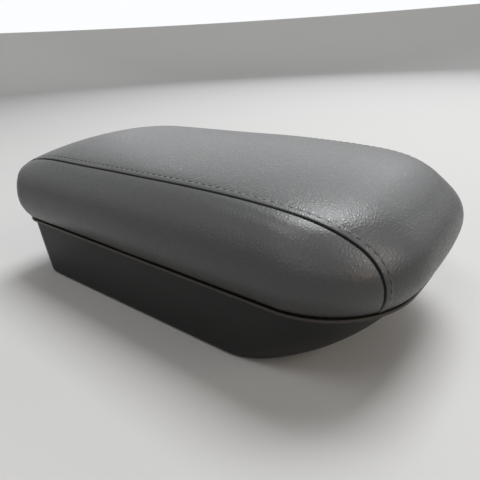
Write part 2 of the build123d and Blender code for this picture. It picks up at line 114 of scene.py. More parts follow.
class ArmrestCushion(PropertyGroup):
    """The padded lid's form, over the leatherette."""

    length: size("Length", "Length of the lid", COVER_HIGH.x - COVER_LOW.x)
    rear_width: size("Rear width", "Width that the sides run to at the rear end", 0.158)
    front_width: size("Front width", "Width that the sides run to at the front end", 0.170)
    rear_corner: size("Rear corner", "Plan radius of the rear corners", 0.026)
    front_corner: size("Front corner", "Plan radius of the front corners", 0.058)
    nose_bow: size("Nose bow", "How far the front end bows forwards in plan", 0.0085)
    underside: size("Underside", "Height of the lid's underside", COVER_LOW.z)
    top: size("Top", "Height of the crown", COVER_HIGH.z)
    bulge_rise: size("Bulge rise", "Height of the widest line over the underside", 0.016)
    edge_tuck: size("Edge tuck", "How far the lower edge tucks in", 0.0060)
    shoulder_tuck: size("Shoulder tuck", "How far the shoulder leans in at 0.9 of the height", 0.0185)
    crown_radius: size("Crown radius", "Radius of the crown across the lid", 0.340)
    rear_run: size("Rear run", "Length over which the top droops to the rear", 0.0710)
    rear_drop: size("Rear drop", "How far the top droops at the rear", 0.0191)
    front_run: size("Front run", "Length over which the top droops to the front", 0.1471)
    front_drop: size("Front drop", "How far the top droops at the front", 0.0121)
    overrun: size("Overrun", "How far past the ends the droops are measured", 0.005)
    shoulder_round: size("Shoulder round", "Softness of the line between side and crown", 0.0052)
    nose_round: size("Nose round", "How much softer that line is at the front end", 0.0147)
    nose_reach: size("Nose reach", "Length over which it softens towards the front end", 0.0663)
    hem_round: size("Hem round", "Softness of the lower edge", 0.0010)
    hem_roll: size("Hem roll", "How far the roll of the lower edge hangs under the lid", 0.00135)
    hem_reach: size("Hem reach", "How far in from the plan the hem reaches under the lid", 0.024)
    skin: size("Skin", "Thickness of the leatherette", 0.0011)
    fill: share("Fill", "How tightly the foam fills the cover", 0.95)


class ArmrestSewing(PropertyGroup):
    """Seams and topstitch of the cover."""

    half_gap: size("Half gap", "Distance of the straight seam from the middle", 0.0625)
    rear_knee: size("Rear knee", "Where the seam starts to turn, from the rear end", 0.0226)
    front_knee: size("Front knee", "Where the seam starts to turn, from the front end", 0.0348)
    rear_turn: angle("Rear turn", "Direction in which the seam goes down the rear corner", 135)
    front_turn: angle("Front turn", "Direction in which the seam goes down the front corner", 33.9)
    groove: size("Groove", "Depth of the groove between the panels", 0.0016)
    groove_width: size("Groove width", "Half-width of the groove", 0.0005)
    groove_rise: size("Groove rise", "Height over the hem from which the groove is at full depth", 0.012)
    welt: size("Welt", "How far the folded edge of the top panel stands up", 0.0003)
    pull: size("Pull", "How deep the seam pulls the padding in", 0.0005)
    pull_reach: size("Pull reach", "How far from the seam the pull reaches", 0.0060)
    row_gap: size("Row gap", "Distance of the topstitch from the seam", 0.0042)
    row_sink: size("Row sink", "How deep the topstitch sinks in", 0.00018)
    row_width: size("Row width", "Half-width of the topstitch's channel", 0.0006)
    pitch: size("Pitch", "Distance from stitch to stitch", 0.0048)
    stitch: size("Stitch", "Length of one stitch", 0.0042)
    thread: size("Thread", "Radius of the thread", 0.00024)
    pucker: size("Pucker", "Height of the small folds beside the seam", 0.000012)
    ripple: size("Ripple", "Height of the soft unevenness of the padding", 0.00012)


class ArmrestFinish(PropertyGroup):
    """Colours of the finishes."""

    leather: colour("Leatherette", "Colour of the cover", (0.013, 0.013, 0.0134))
    thread: colour("Thread", "Colour of the topstitch", (0.006, 0.006, 0.006))
    plastic: colour("Box plastic", "Colour of the storage box", (0.010, 0.0098, 0.0096))
    # Painted highlight: a lighter, warmer colour painted along the top of the box's rim
    rim: colour("Rim", "Colour of the box's highlighted rim", (0.042, 0.036, 0.031))
    felt: colour("Felt", "Colour of the lining", (0.022, 0.022, 0.024))
    plywood: colour("Plywood", "Colour of the lid's board", (0.42, 0.27, 0.14))
    foam: colour("Foam", "Colour of the padding", (0.035, 0.034, 0.033))
    steel: colour("Hinge steel", "Colour of the blackened hinge", (0.045, 0.045, 0.048))
    zinc: colour("Zinc", "Colour of the zinc-plated pieces", (0.58, 0.58, 0.56))
    ferrite: colour("Ferrite", "Colour of the magnet", (0.032, 0.031, 0.033))
    rubber: colour("Rubber", "Colour of the bumpers and the mat", (0.014, 0.014, 0.014))


class ArmrestStudio(PropertyGroup):
    """Camera, lamps and floor."""

    camera: place("Camera", "Place of the camera", (0.19036, -0.21699, 0.16343))
    azimuth: angle("Azimuth", "Direction from which the camera looks, round from the right-hand side", 38.62)
    pitch: angle("Pitch", "How far down the camera looks", 24.65)
    roll: angle("Roll", "How far the camera leans", -3.44)
    lens: FloatProperty(
        name="Lens", description="Focal length on a 36 mm sensor", default=31.57, unit="CAMERA"
    )
    floor: colour("Floor", "Colour of the floor", (0.72, 0.72, 0.71))
    top_power: power("Top", "Power of the softbox high up behind", 34.0)
    high_power: power("High", "Power of the softbox over the camera", 8.0)
    front_power: power("Front", "Power of the wide softbox behind the camera", 3.0)
    rear_power: power("Rear", "Power of the wide softbox low behind", 6.0)
    far_power: power("Far", "Power of the softbox low behind the nose", 5.0)
    nose_power: power("Nose", "Power of the softbox before the nose", 6.0)
    warm_power: power("Warm", "Power of the low warm lamp", 2.4)
    sky: FloatProperty(name="Sky", description="Strength of the world's even light", default=0.03)


# The cushion's form


def unit(vectors):
    """The vectors at length one."""
    return vectors / np.maximum(np.linalg.norm(vectors, axis=-1, keepdims=True), 1e-12)


def run_along(points):
    """How far along the line through the points each of them is."""
    return np.concatenate([[0.0], np.cumsum(np.linalg.norm(np.diff(points, axis=0), axis=-1))])


class Cushion:
    """The lid's outer form as a map from a flat pattern to space.

    The flat pattern is the lid's plan with the sides laid out flat round it. On the crown a pattern point
    stands over itself. Nearer to the outline it becomes a direction: a fan of rays in the upright plane
    through the outline's normal, from straight up, through level, to straight down. The skin lies where its
    ray leaves the form.
    """

    # The fan: height of its core as a share of the lid's, pattern length for one radian, longest ray
    CORE_HEIGHT = 0.45
    SPREAD = 0.0265
    REACH = 0.09
    HALVINGS = 34
    # Pattern step for the normals, half-width of the hem's roll, rise in which the nose gets its softness
    STEP = 0.0002
    ROLL_WIDTH = 0.003
    NOSE_RISE = 0.022
    # How far the side's section is continued, over its height and under its bulge
    SECTION_TOP = 1.2
    SECTION_FOOT = 2
    # Section of the side: share of the height over the bulge, and share of the shoulder's tuck there
    SIDE_HEIGHTS = np.array([0.29, 0.54, 0.73, 0.90, 1.07])
    SIDE_TUCKS = np.array([0.09, 0.28, 0.57, 1.00, 1.50])

    def __init__(self, form):
        self.form = form
        self.rear = -form.length / 2
        self.front = form.length / 2
        self.bulge = form.underside + form.bulge_rise
        self.core_z = form.underside + self.CORE_HEIGHT * (form.top - form.underside)
        self.slope = (form.front_width - form.rear_width) / 2 / form.length
        self.along = np.array([1.0, self.slope]) / math.hypot(1.0, self.slope)
        self.curve = np.polyfit(self.SIDE_HEIGHTS, self.SIDE_TUCKS / self.SIDE_HEIGHTS**2, 2)
        nose_half = self.half_width(self.front - form.nose_bow)
        self.nose_r = (nose_half**2 + form.nose_bow**2) / (2 * form.nose_bow)
        self.nose_x = self.front - self.nose_r
        rear_x = self.rear + form.rear_corner
        self.rear_centre = np.array([rear_x, self.half_width(rear_x, form.rear_corner)])
        self.front_centre = self.front_corner_centre(form.front_corner)
        self.hem = form.hem_reach - math.pi * self.SPREAD

    def half_width(self, x, inset=0.0):
        """Half-width between the side lines at x, each brought in by inset along its normal."""
        return self.form.rear_width / 2 + self.slope * (x - self.rear) - inset / self.along[0]

    def front_corner_centre(self, radius):
        """Where a circle of the radius touches a side line and the nose's arc from inside.

        Its centre lies on the side line brought in by the radius, and at the nose's radius less its own from
        the nose's centre, which is a quadratic in x."""
        offset = self.half_width(0.0, radius)
        a = 1 + self.slope**2
        b = self.slope * offset - self.nose_x
        c = self.nose_x**2 + offset**2 - (self.nose_r - radius) ** 2
        x = (-b + math.sqrt(b * b - a * c)) / a
        return np.array([x, self.half_width(x, radius)])

    def outline(self, x, y):
        """How far inside the plan each point is, and the outward normal of the outline nearest to it.

        A point in the wedge outside a corner's centre belongs to that corner's arc, and any other point to
        the nearest of the rear line, the side line and the nose's arc."""
        side = np.abs(y)
        turned = np.where(y < 0, -1.0, 1.0)
        nose_reach = np.hypot(x - self.nose_x, side)
        edges = np.stack(
            [x - self.rear, (self.half_width(x) - side) * self.along[0], self.nose_r - nose_reach]
        )
        nearest = edges.argmin(0)
        inside = edges.min(0)
        nx = np.choose(nearest, [-1.0, -self.along[1], (x - self.nose_x) / nose_reach])
        ny = np.choose(nearest, [0.0, self.along[0], side / nose_reach])

        rx, ry = x - self.rear_centre[0], side - self.rear_centre[1]
        at_rear = (rx * self.along[0] + ry * self.along[1] < 0) & (ry > 0)
        fx, fy = x - self.front_centre[0], side - self.front_centre[1]
        past_nose = (self.front_centre[0] - self.nose_x) * side > self.front_centre[1] * (x - self.nose_x)
        at_front = (fx * self.along[0] + fy * self.along[1] > 0) & past_nose
        for wedge, dx, dy, radius in (
            (at_rear, rx, ry, self.form.rear_corner),
            (at_front, fx, fy, self.form.front_corner),
        ):
            reach = np.maximum(np.hypot(dx, dy), 1e-9)
            inside = np.where(wedge, radius - reach, inside)
            nx = np.where(wedge, dx / reach, nx)
            ny = np.where(wedge, dy / reach, ny)
        return inside, nx, ny * turned

    def crown(self, x, y):
        """Height of the crown: an arc across the lid, whose radius shrinks by an arc near each end."""
        form = self.form
        fall = 0.0
        for past, run, drop in (
            (self.rear - form.overrun + form.rear_run - x, form.rear_run, form.rear_drop),
            (x - self.front - form.overrun + form.front_run, form.front_run, form.front_drop),
        ):
            radius = (run**2 + drop**2) / (2 * drop)
            fall = fall + radius - np.sqrt(radius**2 - np.clip(past, 0, radius) ** 2)
        return form.top - form.crown_radius + np.sqrt((form.crown_radius - fall) ** 2 - y**2)

    def tuck(self, z):
        """How far in from the plan the side is at height z: a parabola under the bulge, a quartic above."""
        form = self.form
        up = np.clip((z - self.bulge) / (form.top - self.bulge), 0, self.SECTION_TOP)
        down = np.clip((self.bulge - z) / form.bulge_rise, 0, self.SECTION_FOOT)
        return form.shoulder_tuck * up**2 * np.polyval(self.curve, up) + form.edge_tuck * down**2

    def outside(self, x, y, inset, z):
        """Above nought outside the form: a soft maximum of how far past side, crown and underside it is."""

        def soft_max(a, b, width):
            return (a + b + np.sqrt((a - b) ** 2 + width**2)) / 2

        ahead = np.clip((x - self.front) / self.form.nose_reach + 1, 0, 1)
        over = np.clip((z - self.bulge) / self.NOSE_RISE, 0, 1)
        softness = ahead**2 * (3 - 2 * ahead) * over**2 * (3 - 2 * over) * self.form.nose_round
        softness = softness + self.form.shoulder_round
        upper = soft_max(self.tuck(z) - inset, z - self.crown(x, y), softness)
        roll = self.form.hem_roll * np.exp(-(((inset - self.form.edge_tuck) / self.ROLL_WIDTH) ** 2))
        return soft_max(upper, self.form.underside - roll - z, self.form.hem_round)

    def solve(self, leaves, low, high):
        """Where leaves(t) turns from below to above nought between low and high, found by halving."""
        for _ in range(self.HALVINGS):
            middle = (low + high) / 2
            inner = leaves(middle) < 0
            low = np.where(inner, middle, low)
            high = np.where(inner, high, middle)
        return (low + high) / 2

    def skin(self, x, y):
        """Points in space of the flat pattern's points."""
        reach = self.form.hem_reach
        inside, nx, ny = self.outline(x, y)
        core = np.maximum(reach, inside)
        turn = np.clip(math.pi / 2 - (reach - inside) / self.SPREAD, -math.pi / 2, math.pi / 2)
        foot_x, foot_y = x + nx * inside, y + ny * inside

        def at(t):
            inset = core - t * np.cos(turn)
            return foot_x - nx * inset, foot_y - ny * inset, inset, self.core_z + t * np.sin(turn)

        ray = self.solve(lambda t: self.outside(*at(t)), np.zeros_like(x), np.full_like(x, self.REACH))
        px, py, _, pz = at(ray)
        return np.stack([px, py, pz], -1)

    def skin_and_normal(self, x, y):
        """Points in space, and the outward normals from the slopes along the pattern's two directions."""
        points = self.skin(x, y)
        across = self.skin(x + self.STEP, y) - self.skin(x - self.STEP, y)
        over = self.skin(x, y + self.STEP) - self.skin(x, y - self.STEP)
        return points, unit(np.cross(across, over))

    def moved_to(self, x, y, wanted):
        """Pattern points moved straight out from the plan, or in, until they are as far inside as wanted."""
        inside, nx, ny = self.outline(x, y)
        return x + nx * (inside - wanted), y + ny * (inside - wanted)

    def hem_line(self, x, y):
        """Pattern points moved straight out to the hem's inner edge."""
        return self.moved_to(x, y, self.hem)

    def to_pattern(self, x, y, z):
        """Pattern points of skin points over the bulge, from the direction in which the fan sees them."""
        reach = self.form.hem_reach
        inside, nx, ny = self.outline(x, y)
        turn = np.arctan2(z - self.core_z, reach - inside)
        flat = reach - (math.pi / 2 - turn) * self.SPREAD
        return x + nx * (inside - flat), y + ny * (inside - flat)


def evenly(points, count):
    """The line through the points, cut into count points at even distances along it."""
    run = run_along(points)
    stations = np.linspace(0, run[-1], count)
    return np.stack([np.interp(stations, run, column) for column in points.T], -1)


def smoothed(points, reach):
    """The line with its kinks rounded: means of the neighbours within reach, fewer towards the two ends."""
    total = np.concatenate([np.zeros((1, 2)), np.cumsum(points, axis=0)])
    index = np.arange(len(points))
    near = np.minimum(reach, np.minimum(index, len(points) - 1 - index))
    return (total[index + near + 1] - total[index - near]) / (2 * near + 1)[:, None]


def tangent_arc(start, end, count):
    """Arc from start to end that leaves start along the lid, by equal turns of its radius."""
    dx, dy = end[0] - start[0], end[1] - start[1]
    whole = 2 * math.atan2(dy, abs(dx))
    radius = math.hypot(dx, dy) / (2 * math.sin(whole / 2))
    turn = np.linspace(0, whole, count)
    x = start[0] + math.copysign(1, dx) * radius * np.sin(turn)
    return np.stack([x, start[1] + radius * (1 - np.cos(turn))], -1)


# How far inside the form the seam's foot at the bulge is at least, and the smoothing's share of the seam
UNDER_SKIN = 0.001
SMOOTH_SHARE = 20


def seam_pattern(cushion, sewing, count):
    """The left-hand seam on the flat pattern, from the rear hem to the front hem.

    In plan it is a straight line with an arc at each end that meets the outline on a corner. There it goes
    straight down over the bulge and under the lid."""
    form = cushion.form
    ends = []
    for centre, radius, turn, knee in (
        (cushion.rear_centre, form.rear_corner, sewing.rear_turn, cushion.rear + sewing.rear_knee),
        (cushion.front_centre, form.front_corner, sewing.front_turn, cushion.front - sewing.front_knee),
    ):
        outward = np.array([math.cos(turn), math.sin(turn)])
        on_plan = tangent_arc((knee, sewing.half_gap), centre + radius * outward, count)
        hem = centre + (radius - cushion.hem) * outward
        ends.append((on_plan, hem))
    (rear_arc, rear_hem), (front_arc, front_hem) = ends
    x, y = np.concatenate([rear_arc[::-1], front_arc]).T
    inside = np.maximum(cushion.outline(x, y)[0], 0.0)
    low, high = np.full_like(x, cushion.bulge), np.full_like(x, form.top + cushion.REACH)
    z = cushion.solve(lambda height: cushion.outside(x, y, inside, height), low, high)
    on_skin = cushion.outside(x, y, inside, low) < -UNDER_SKIN
    upper = np.stack(cushion.to_pattern(x, y, z), -1)[on_skin]
    whole = evenly(np.concatenate([[rear_hem], upper, [front_hem]]), count)
    return smoothed(whole, count // SMOOTH_SHARE)


# How strongly the grid lines crowd towards the seams, across the top panel and up a side panel
TOP_CROWDING = 2.0
SIDE_CROWDING = 0.85


def crowded(count, force):
    """Numbers from 0 to 1 that crowd towards both ends, along a hyperbolic tangent."""
    return 0.5 + 0.5 * np.tanh(force * np.linspace(-1, 1, count)) / math.tanh(force)


def end_bow(cushion, start, end, shares):
    """How far the hem's line leaves the straight line from start to end, at each share of the way."""
    straight = start + shares[:, None] * (end - start)
    return np.stack(cushion.hem_line(*straight.T), -1) - straight


def top_pattern(cushion, seam, columns):
    """Pattern of the top panel: straight rows from seam to seam, bowed towards the hem at the two ends."""
    right = seam * (1, -1)
    across = crowded(columns, TOP_CROWDING)
    down = np.linspace(0, 1, len(seam))[:, None, None]
    rows = right[:, None] + across[None, :, None] * (seam - right)[:, None]
    rear = end_bow(cushion, right[0], seam[0], across)
    front = end_bow(cushion, right[-1], seam[-1], across)
    return rows + (1 - down) ** 3 * rear + down**3 * front


def side_pattern(cushion, seam, columns):
    """Pattern of the left-hand panel: a lens between hem and seam, ruled with straight columns."""
    chord = seam[0] + np.linspace(0, 1, 4 * len(seam))[:, None] * (seam[-1] - seam[0])
    hem = evenly(np.stack(cushion.hem_line(*chord.T), -1), len(seam))
    up = np.linspace(0, 1, columns)
    up = 1 - (1 - up) * (1 - SIDE_CROWDING * up)
    return hem[:, None] + up[None, :, None] * (seam - hem)[:, None]


def nearest_on_line(points, line, batch=4000):
    """Distance of each point from a line of close points, and how far along the line the nearest one is."""
    run = run_along(line)
    flat = points.reshape(-1, 3)
    distance = np.empty(len(flat))
    along = np.empty(len(flat))
    for start in range(0, len(flat), batch):
        part = slice(start, start + batch)
        square = ((flat[part, None] - line[None]) ** 2).sum(-1)
        best = square.argmin(1)
        distance[part] = np.sqrt(square[np.arange(len(best)), best])
        along[part] = run[best]
    return distance.reshape(points.shape[:-1]), along.reshape(points.shape[:-1])


# Waves of the padding: weight, radians per metre along the three axes, phase
PADDING_WAVES = (
    (0.5, (71, 24, 0), 1.3),
    (0.5, (-39, 53, 40), 0.4),
    (0.3, (118, 0, -60), 2.1),
    (0.25, (101, 97, 0), 0.7),
)
# Folds beside the seam: weight, metres per radian along the seam, phase
PUCKER_WAVES = ((1.0, 0.0009, 0.0), (0.8, 0.00137, 1.0), (0.6, 0.0021, 2.0))


def uneven(points, height):
    """Soft unevenness of stretched padding: a few long waves that cross each other."""
    return height * sum(part * np.sin(points @ np.array(way) + phase) for part, way, phase in PADDING_WAVES)


def puckers(distance, along, height, reach):
    """Small folds square to the seam that die away from it: three waves of unlike length."""
    waves = sum(part * np.sin(along / length + phase) for part, length, phase in PUCKER_WAVES)
    return height * waves * (distance / reach) ** 2 * np.exp(1 - (distance / reach) ** 2)


# Meshes


def grid_mesh(name, points, wrap=False):
    """Object from a grid of points, rows by columns, with a quad between each four neighbours."""
    rows, columns = points.shape[:2]
    index = np.arange(rows * columns).reshape(rows, columns)
    if wrap:
        index = np.concatenate([index, index[:, :1]], 1)
    quads = np.stack([index[:-1, :-1], index[1:, :-1], index[1:, 1:], index[:-1, 1:]], -1).reshape(-1, 4)
    return quad_mesh(name, points.reshape(-1, 3), quads)


def quad_mesh(name, points, quads):
    """Smooth object from points and quads, with the double points at its poles merged."""
    mesh = bpy.data.meshes.new(name)
    mesh.vertices.add(len(points))
    mesh.vertices.foreach_set("co", points.astype(np.float32).ravel())
    mesh.loops.add(quads.size)
    mesh.loops.foreach_set("vertex_index", quads.astype(np.int32).ravel())
    mesh.polygons.add(len(quads))
    mesh.polygons.foreach_set("loop_start", np.arange(0, quads.size, 4, dtype=np.int32))
    mesh.update(calc_edges=True)
    build = bmesh.new()
    build.from_mesh(mesh)
    bmesh.ops.remove_doubles(build, verts=build.verts, dist=1e-6)
    build.to_mesh(mesh)
    build.free()
    mesh.validate()
    mesh.shade_smooth()
    made = bpy.data.objects.new(name, mesh)
    bpy.context.collection.objects.link(made)
    return made


# Shader nodes


def node(tree, kind, inputs=None, **settings):
    """One node with settings, and inputs by name or number: a socket is linked, another value is set."""
    made = tree.nodes.new(kind)
    for key, value in settings.items():
        setattr(made, key, value)
    for key, value in (inputs or {}).items():
        if isinstance(value, NodeSocket):
            tree.links.new(value, made.inputs[key])
        else:
            made.inputs[key].default_value = value
    return made


def math_node(tree, operation, *values):
    """Result of a Math node on sockets or numbers."""
    return node(tree, "ShaderNodeMath", dict(enumerate(values)), operation=operation).outputs[0]


def vector_node(tree, operation, *values):
    """Result of a Vector Math node on sockets or vectors."""
    return node(tree, "ShaderNodeVectorMath", dict(enumerate(values)), operation=operation).outputs[0]


def plus(tree, value, gain, other):
    """The value plus gain times another."""
    return math_node(tree, "MULTIPLY_ADD", other, gain, value)


def ranged(tree, value, low, high, start=0.0, end=1.0, **settings):
    """A value that runs from start to end, spread from low to high."""
    inputs = {"Value": value, "From Min": start, "From Max": end, "To Min": low, "To Max": high}
    return node(tree, "ShaderNodeMapRange", inputs, **settings).outputs["Result"]


def mixed(tree, factor, first, second):
    """A colour between two colours."""
    return node(tree, "ShaderNodeMix", {0: factor, 6: first, 7: second}, data_type="RGBA").outputs[2]


def rgba(tint, gain=1.0):
    """A colour with full alpha, brightened by gain."""
    return (*[min(1.0, c * gain) for c in tint], 1.0)


def toned(tree, factor, tint, low, high):
    """A colour whose brightness runs from low to high times the tint's."""
    return mixed(tree, factor, rgba(tint, low), rgba(tint, high))


def noise(tree, vector, scale, detail=2.0, roughness=0.5):
    """Value of a noise texture."""
    inputs = {"Vector": vector, "Scale": scale, "Detail": detail, "Roughness": roughness}
    return node(tree, "ShaderNodeTexNoise", inputs).outputs["Fac"]


def cells(tree, vector, scale, feature="F1", **inputs):
    """Distance and Color outputs of a cell texture."""
    inputs = {"Vector": vector, "Scale": scale, **inputs}
    return node(tree, "ShaderNodeTexVoronoi", inputs, feature=feature).outputs


def bands(tree, vector, scale, axis, distortion=0.0):
    """Value of soft bands that follow each other along an axis."""
    inputs = {"Vector": vector, "Scale": scale, "Distortion": distortion}
    return node(tree, "ShaderNodeTexWave", inputs, bands_direction=axis).outputs["Fac"]


def stretched(tree, vector, scale):
    """Coordinates scaled along the three axes."""
    return node(tree, "ShaderNodeMapping", {"Vector": vector, "Scale": scale}).outputs["Vector"]


# Effects that materials share, each a node group


def pebble_grain(tree, vector, fineness):
    """Height of domes less the creases between them, and a Crease near 1 in the valleys.

    The cells have two sizes, the domes' being the larger, and noise warps them."""
    warp_scale, warp_reach = 260.0, 0.0016
    dome_share, dome_gain, crease_width = 0.53, -0.9, 0.42
    fine_scale, fine_gain = 2600.0, 0.25
    warp = node(tree, "ShaderNodeTexNoise", {"Vector": vector, "Scale": warp_scale, "Detail": 1.0})
    shift = vector_node(tree, "SUBTRACT", warp.outputs["Color"], (0.5, 0.5, 0.5))
    moved = vector_node(tree, "MULTIPLY_ADD", shift, (warp_reach, warp_reach, warp_reach), vector)
    edge = cells(tree, moved, fineness, "DISTANCE_TO_EDGE", Randomness=0.95)["Distance"]
    larger = math_node(tree, "MULTIPLY", fineness, dome_share)
    dome = cells(tree, moved, larger, "SMOOTH_F1", Smoothness=0.6)["Distance"]
    plateau = ranged(tree, edge, 0.0, 1.0, end=crease_width, interpolation_type="SMOOTHSTEP")
    height = plus(tree, plateau, dome_gain, dome)
    height = plus(tree, height, fine_gain, noise(tree, vector, fine_scale))
    return height, math_node(tree, "SUBTRACT", 1.0, plateau)


def moulded_grain(tree, vector, fineness):
    """Spark-eroded grain of moulded plastic and rubber: two noises, and a slow drift of Tone."""
    coarse = noise(tree, vector, fineness)
    fine = noise(tree, vector, math_node(tree, "MULTIPLY", fineness, 2.7), detail=1.0)
    return plus(tree, coarse, 0.5, fine), noise(tree, vector, 23.0, detail=3.0, roughness=0.6)


def settled_dust(tree, vector, fineness):
    """Mask of settled specks: a small dot in few of the cells, only where the surface looks up."""
    rarity, dot_edge, dot_core = 0.965, 0.10, 0.03
    cell = cells(tree, vector, fineness)
    chance = node(tree, "ShaderNodeSeparateColor", {"Color": cell["Color"]}).outputs[0]
    few = math_node(tree, "GREATER_THAN", chance, rarity)
    dot = ranged(tree, cell["Distance"], 0.0, 1.0, dot_edge, dot_core)
    normal = node(tree, "ShaderNodeNewGeometry").outputs["Normal"]
    up = node(tree, "ShaderNodeSeparateXYZ", {"Vector": normal}).outputs["Z"]
    speck = math_node(tree, "MULTIPLY", few, dot)
    return (math_node(tree, "MULTIPLY", speck, math_node(tree, "MAXIMUM", up, 0.0)),)


def brushed_lines(tree, vector, fineness):
    """Lines of drawn metal: noise that is stretched along the rolling direction, and slow Stains."""
    lines = noise(tree, stretched(tree, vector, (1.0, 0.04, 1.0)), fineness, detail=3.0)
    return lines, noise(tree, vector, 140.0, detail=4.0, roughness=0.65)


def matted_fibres(tree, vector, fineness):
    """Matted fibres or cells: fine noise broken up by a coarser one, which is also the Tone."""
    fine = noise(tree, vector, fineness, detail=4.0, roughness=0.7)
    clump = noise(tree, vector, math_node(tree, "MULTIPLY", fineness, 0.12))
    return plus(tree, fine, 0.5, clump), clump


EFFECTS = {
    "pebble_grain": (pebble_grain, ("Height", "Crease")),
    "moulded_grain": (moulded_grain, ("Height", "Tone")),
    "settled_dust": (settled_dust, ("Mask",)),
    "brushed_lines": (brushed_lines, ("Height", "Stain")),
    "matted_fibres": (matted_fibres, ("Height", "Tone")),
}


def new_group(name):
    """Node group of an effect: a Vector and a Fineness go in, and what its maker returns comes out."""
    maker, outputs = EFFECTS[name]
    tree = bpy.data.node_groups.new(name, "ShaderNodeTree")
    tree.interface.new_socket("Vector", in_out="INPUT", socket_type="NodeSocketVector")
    tree.interface.new_socket("Fineness", in_out="INPUT", socket_type="NodeSocketFloat")
    for key in outputs:
        tree.interface.new_socket(key, in_out="OUTPUT", socket_type="NodeSocketFloat")
    given = tree.nodes.new("NodeGroupInput").outputs
    taken = tree.nodes.new("NodeGroupOutput").inputs
    for key, value in zip(outputs, maker(tree, given["Vector"], given["Fineness"])):
        tree.links.new(value, taken[key])
    return tree


def effect(tree, name, vector, fineness):
    """Outputs of a shared effect placed in a material, built the first time it is asked for."""
    group = bpy.data.node_groups.get(name) or new_group(name)
    inputs = {"Vector": vector, "Fineness": fineness}
    return node(tree, "ShaderNodeGroup", inputs, node_tree=group).outputs


# Materials, with bump depths in metres


def new_material(name):
    """Material with a bare Principled shader, its tree and its Object coordinates."""
    material = bpy.data.materials.new(name)
    material.use_nodes = True
    tree = material.node_tree
    shader = tree.nodes["Principled BSDF"]
    return material, tree, shader, tree.nodes.new("ShaderNodeTexCoord").outputs["Object"]


def wire(tree, shader, base, roughness, height, depth, **others):
    """Feeds the shader with a colour, a roughness, a bump of the depth, and other inputs by name."""
    bump = node(tree, "ShaderNodeBump", {"Height": height, "Distance": depth})
    tree.links.new(base, shader.inputs["Base Color"])
    tree.links.new(roughness, shader.inputs["Roughness"])
    tree.links.new(bump.outputs["Normal"], shader.inputs["Normal"])
    for key, value in others.items():
        shader.inputs[key.replace("_", " ")].default_value = value


def dusted(tree, spot, base, fineness, amount, tint):
    """The colour with specks of dust on it."""
    mask = effect(tree, "settled_dust", spot, fineness)["Mask"]
    return mixed(tree, math_node(tree, "MULTIPLY", mask, amount), base, tint)


def leather_material(finish):
    """Black leatherette: pebbles drawn out across the lid, dull creases, a few specks of dust.

    Shade is painted into the creases, which are darker than the pebbles' tops, and into the seam's groove,
    which the groove's attribute also dulls."""
    material, tree, shader, spot = new_material(LEATHER)
    grain = effect(tree, "pebble_grain", stretched(tree, spot, (1.0, 0.55, 0.55)), 760.0)
    groove_shade = node(tree, "ShaderNodeAttribute", attribute_name="groove_shade").outputs["Fac"]
    # Painted shade: the creases between the pebbles are darker than the pebbles' tops
    base = toned(tree, grain["Crease"], finish.leather, 1.15, 0.75)
    base = dusted(tree, spot, base, 105.0, amount=0.5, tint=(0.45, 0.46, 0.47, 1.0))
    # Painted shade: towards the bottom of the seam's groove the colour falls to a tenth of the leather's
    base = mixed(tree, groove_shade, base, rgba(finish.leather, 0.1))
    drift = ranged(tree, noise(tree, spot, 16.0, detail=3.0, roughness=0.6), -0.03, 0.03)
    rough = math_node(tree, "ADD", ranged(tree, grain["Crease"], 0.30, 0.42), drift)
    rough = math_node(tree, "MAXIMUM", rough, math_node(tree, "MULTIPLY", groove_shade, 0.9))
    streaks = noise(tree, stretched(tree, spot, (1.0, 0.5, 0.5)), 520.0)
    height = plus(tree, grain["Height"], 1.1, streaks)
    wire(tree, shader, base, rough, height, depth=0.00006, Specular_IOR_Level=0.8)
    return material


def thread_material(finish):
    """Bonded black thread: a fine twist and a dull wax."""
    material, tree, shader, spot = new_material("bonded_thread")
    twist = noise(tree, spot, 5200.0)
    base = toned(tree, twist, finish.thread, 0.6, 1.6)
    rough = ranged(tree, twist, 0.7, 0.9)
    wire(tree, shader, base, rough, twist, depth=0.0001, Specular_IOR_Level=0.15)
    return material


def plastic_material(finish):
    """Satin moulded plastic with a fine grain, slow drifts of gloss, a rim and a little dust.

    The rim is glossier, and a lighter, warmer highlight is painted along it.
    """
    material, tree, shader, spot = new_material("grained_plastic")
    grain = effect(tree, "moulded_grain", spot, 1500.0)
    base = toned(tree, grain["Tone"], finish.plastic, 0.75, 1.3)
    base = dusted(tree, spot, base, 160.0, amount=0.35, tint=(0.4, 0.4, 0.4, 1.0))
    # Painted highlight: the band at the top of the rim takes the lighter, warmer rim colour, and less
    # roughness
    level = node(tree, "ShaderNodeSeparateXYZ", {"Vector": spot}).outputs["Z"]
    rim = ranged(tree, level, 0.0, 1.0, RIM_HIGHLIGHT_LOW, RIM_HIGHLIGHT_LOW + RIM_HIGHLIGHT_FADE)
    base = mixed(tree, rim, base, rgba(finish.rim))
    rough = plus(tree, ranged(tree, grain["Tone"], 0.46, 0.60), -0.16, rim)
    wire(tree, shader, base, rough, grain["Height"], depth=0.00006, Specular_IOR_Level=0.25)
    return material


def rubber_material(finish):
    """Dull rubber with a fine mould grain."""
    material, tree, shader, spot = new_material("dull_rubber")
    grain = effect(tree, "moulded_grain", spot, 2100.0)
    base = toned(tree, grain["Tone"], finish.rubber, 0.8, 1.4)
    wire(tree, shader, base, ranged(tree, grain["Tone"], 0.65, 0.8), grain["Height"], depth=0.00008)
    return material


def mat_material(finish):
    """Rubber mat with ribs across the box, rounded by a sine, and a fine grain on them."""
    material, tree, shader, spot = new_material("ribbed_rubber")
    grain = effect(tree, "moulded_grain", spot, 1300.0)
    ribs = bands(tree, spot, 52.0, "X")
    # Painted shade and light: the colour follows the ribs' height, darker in the valleys and lighter on the
    # crests
    base = toned(tree, ribs, finish.rubber, 0.6, 1.7)
    height = plus(tree, ribs, 0.12, grain["Height"])
    wire(tree, shader, base, ranged(tree, grain["Tone"], 0.6, 0.8), height, depth=0.0007)
    return material


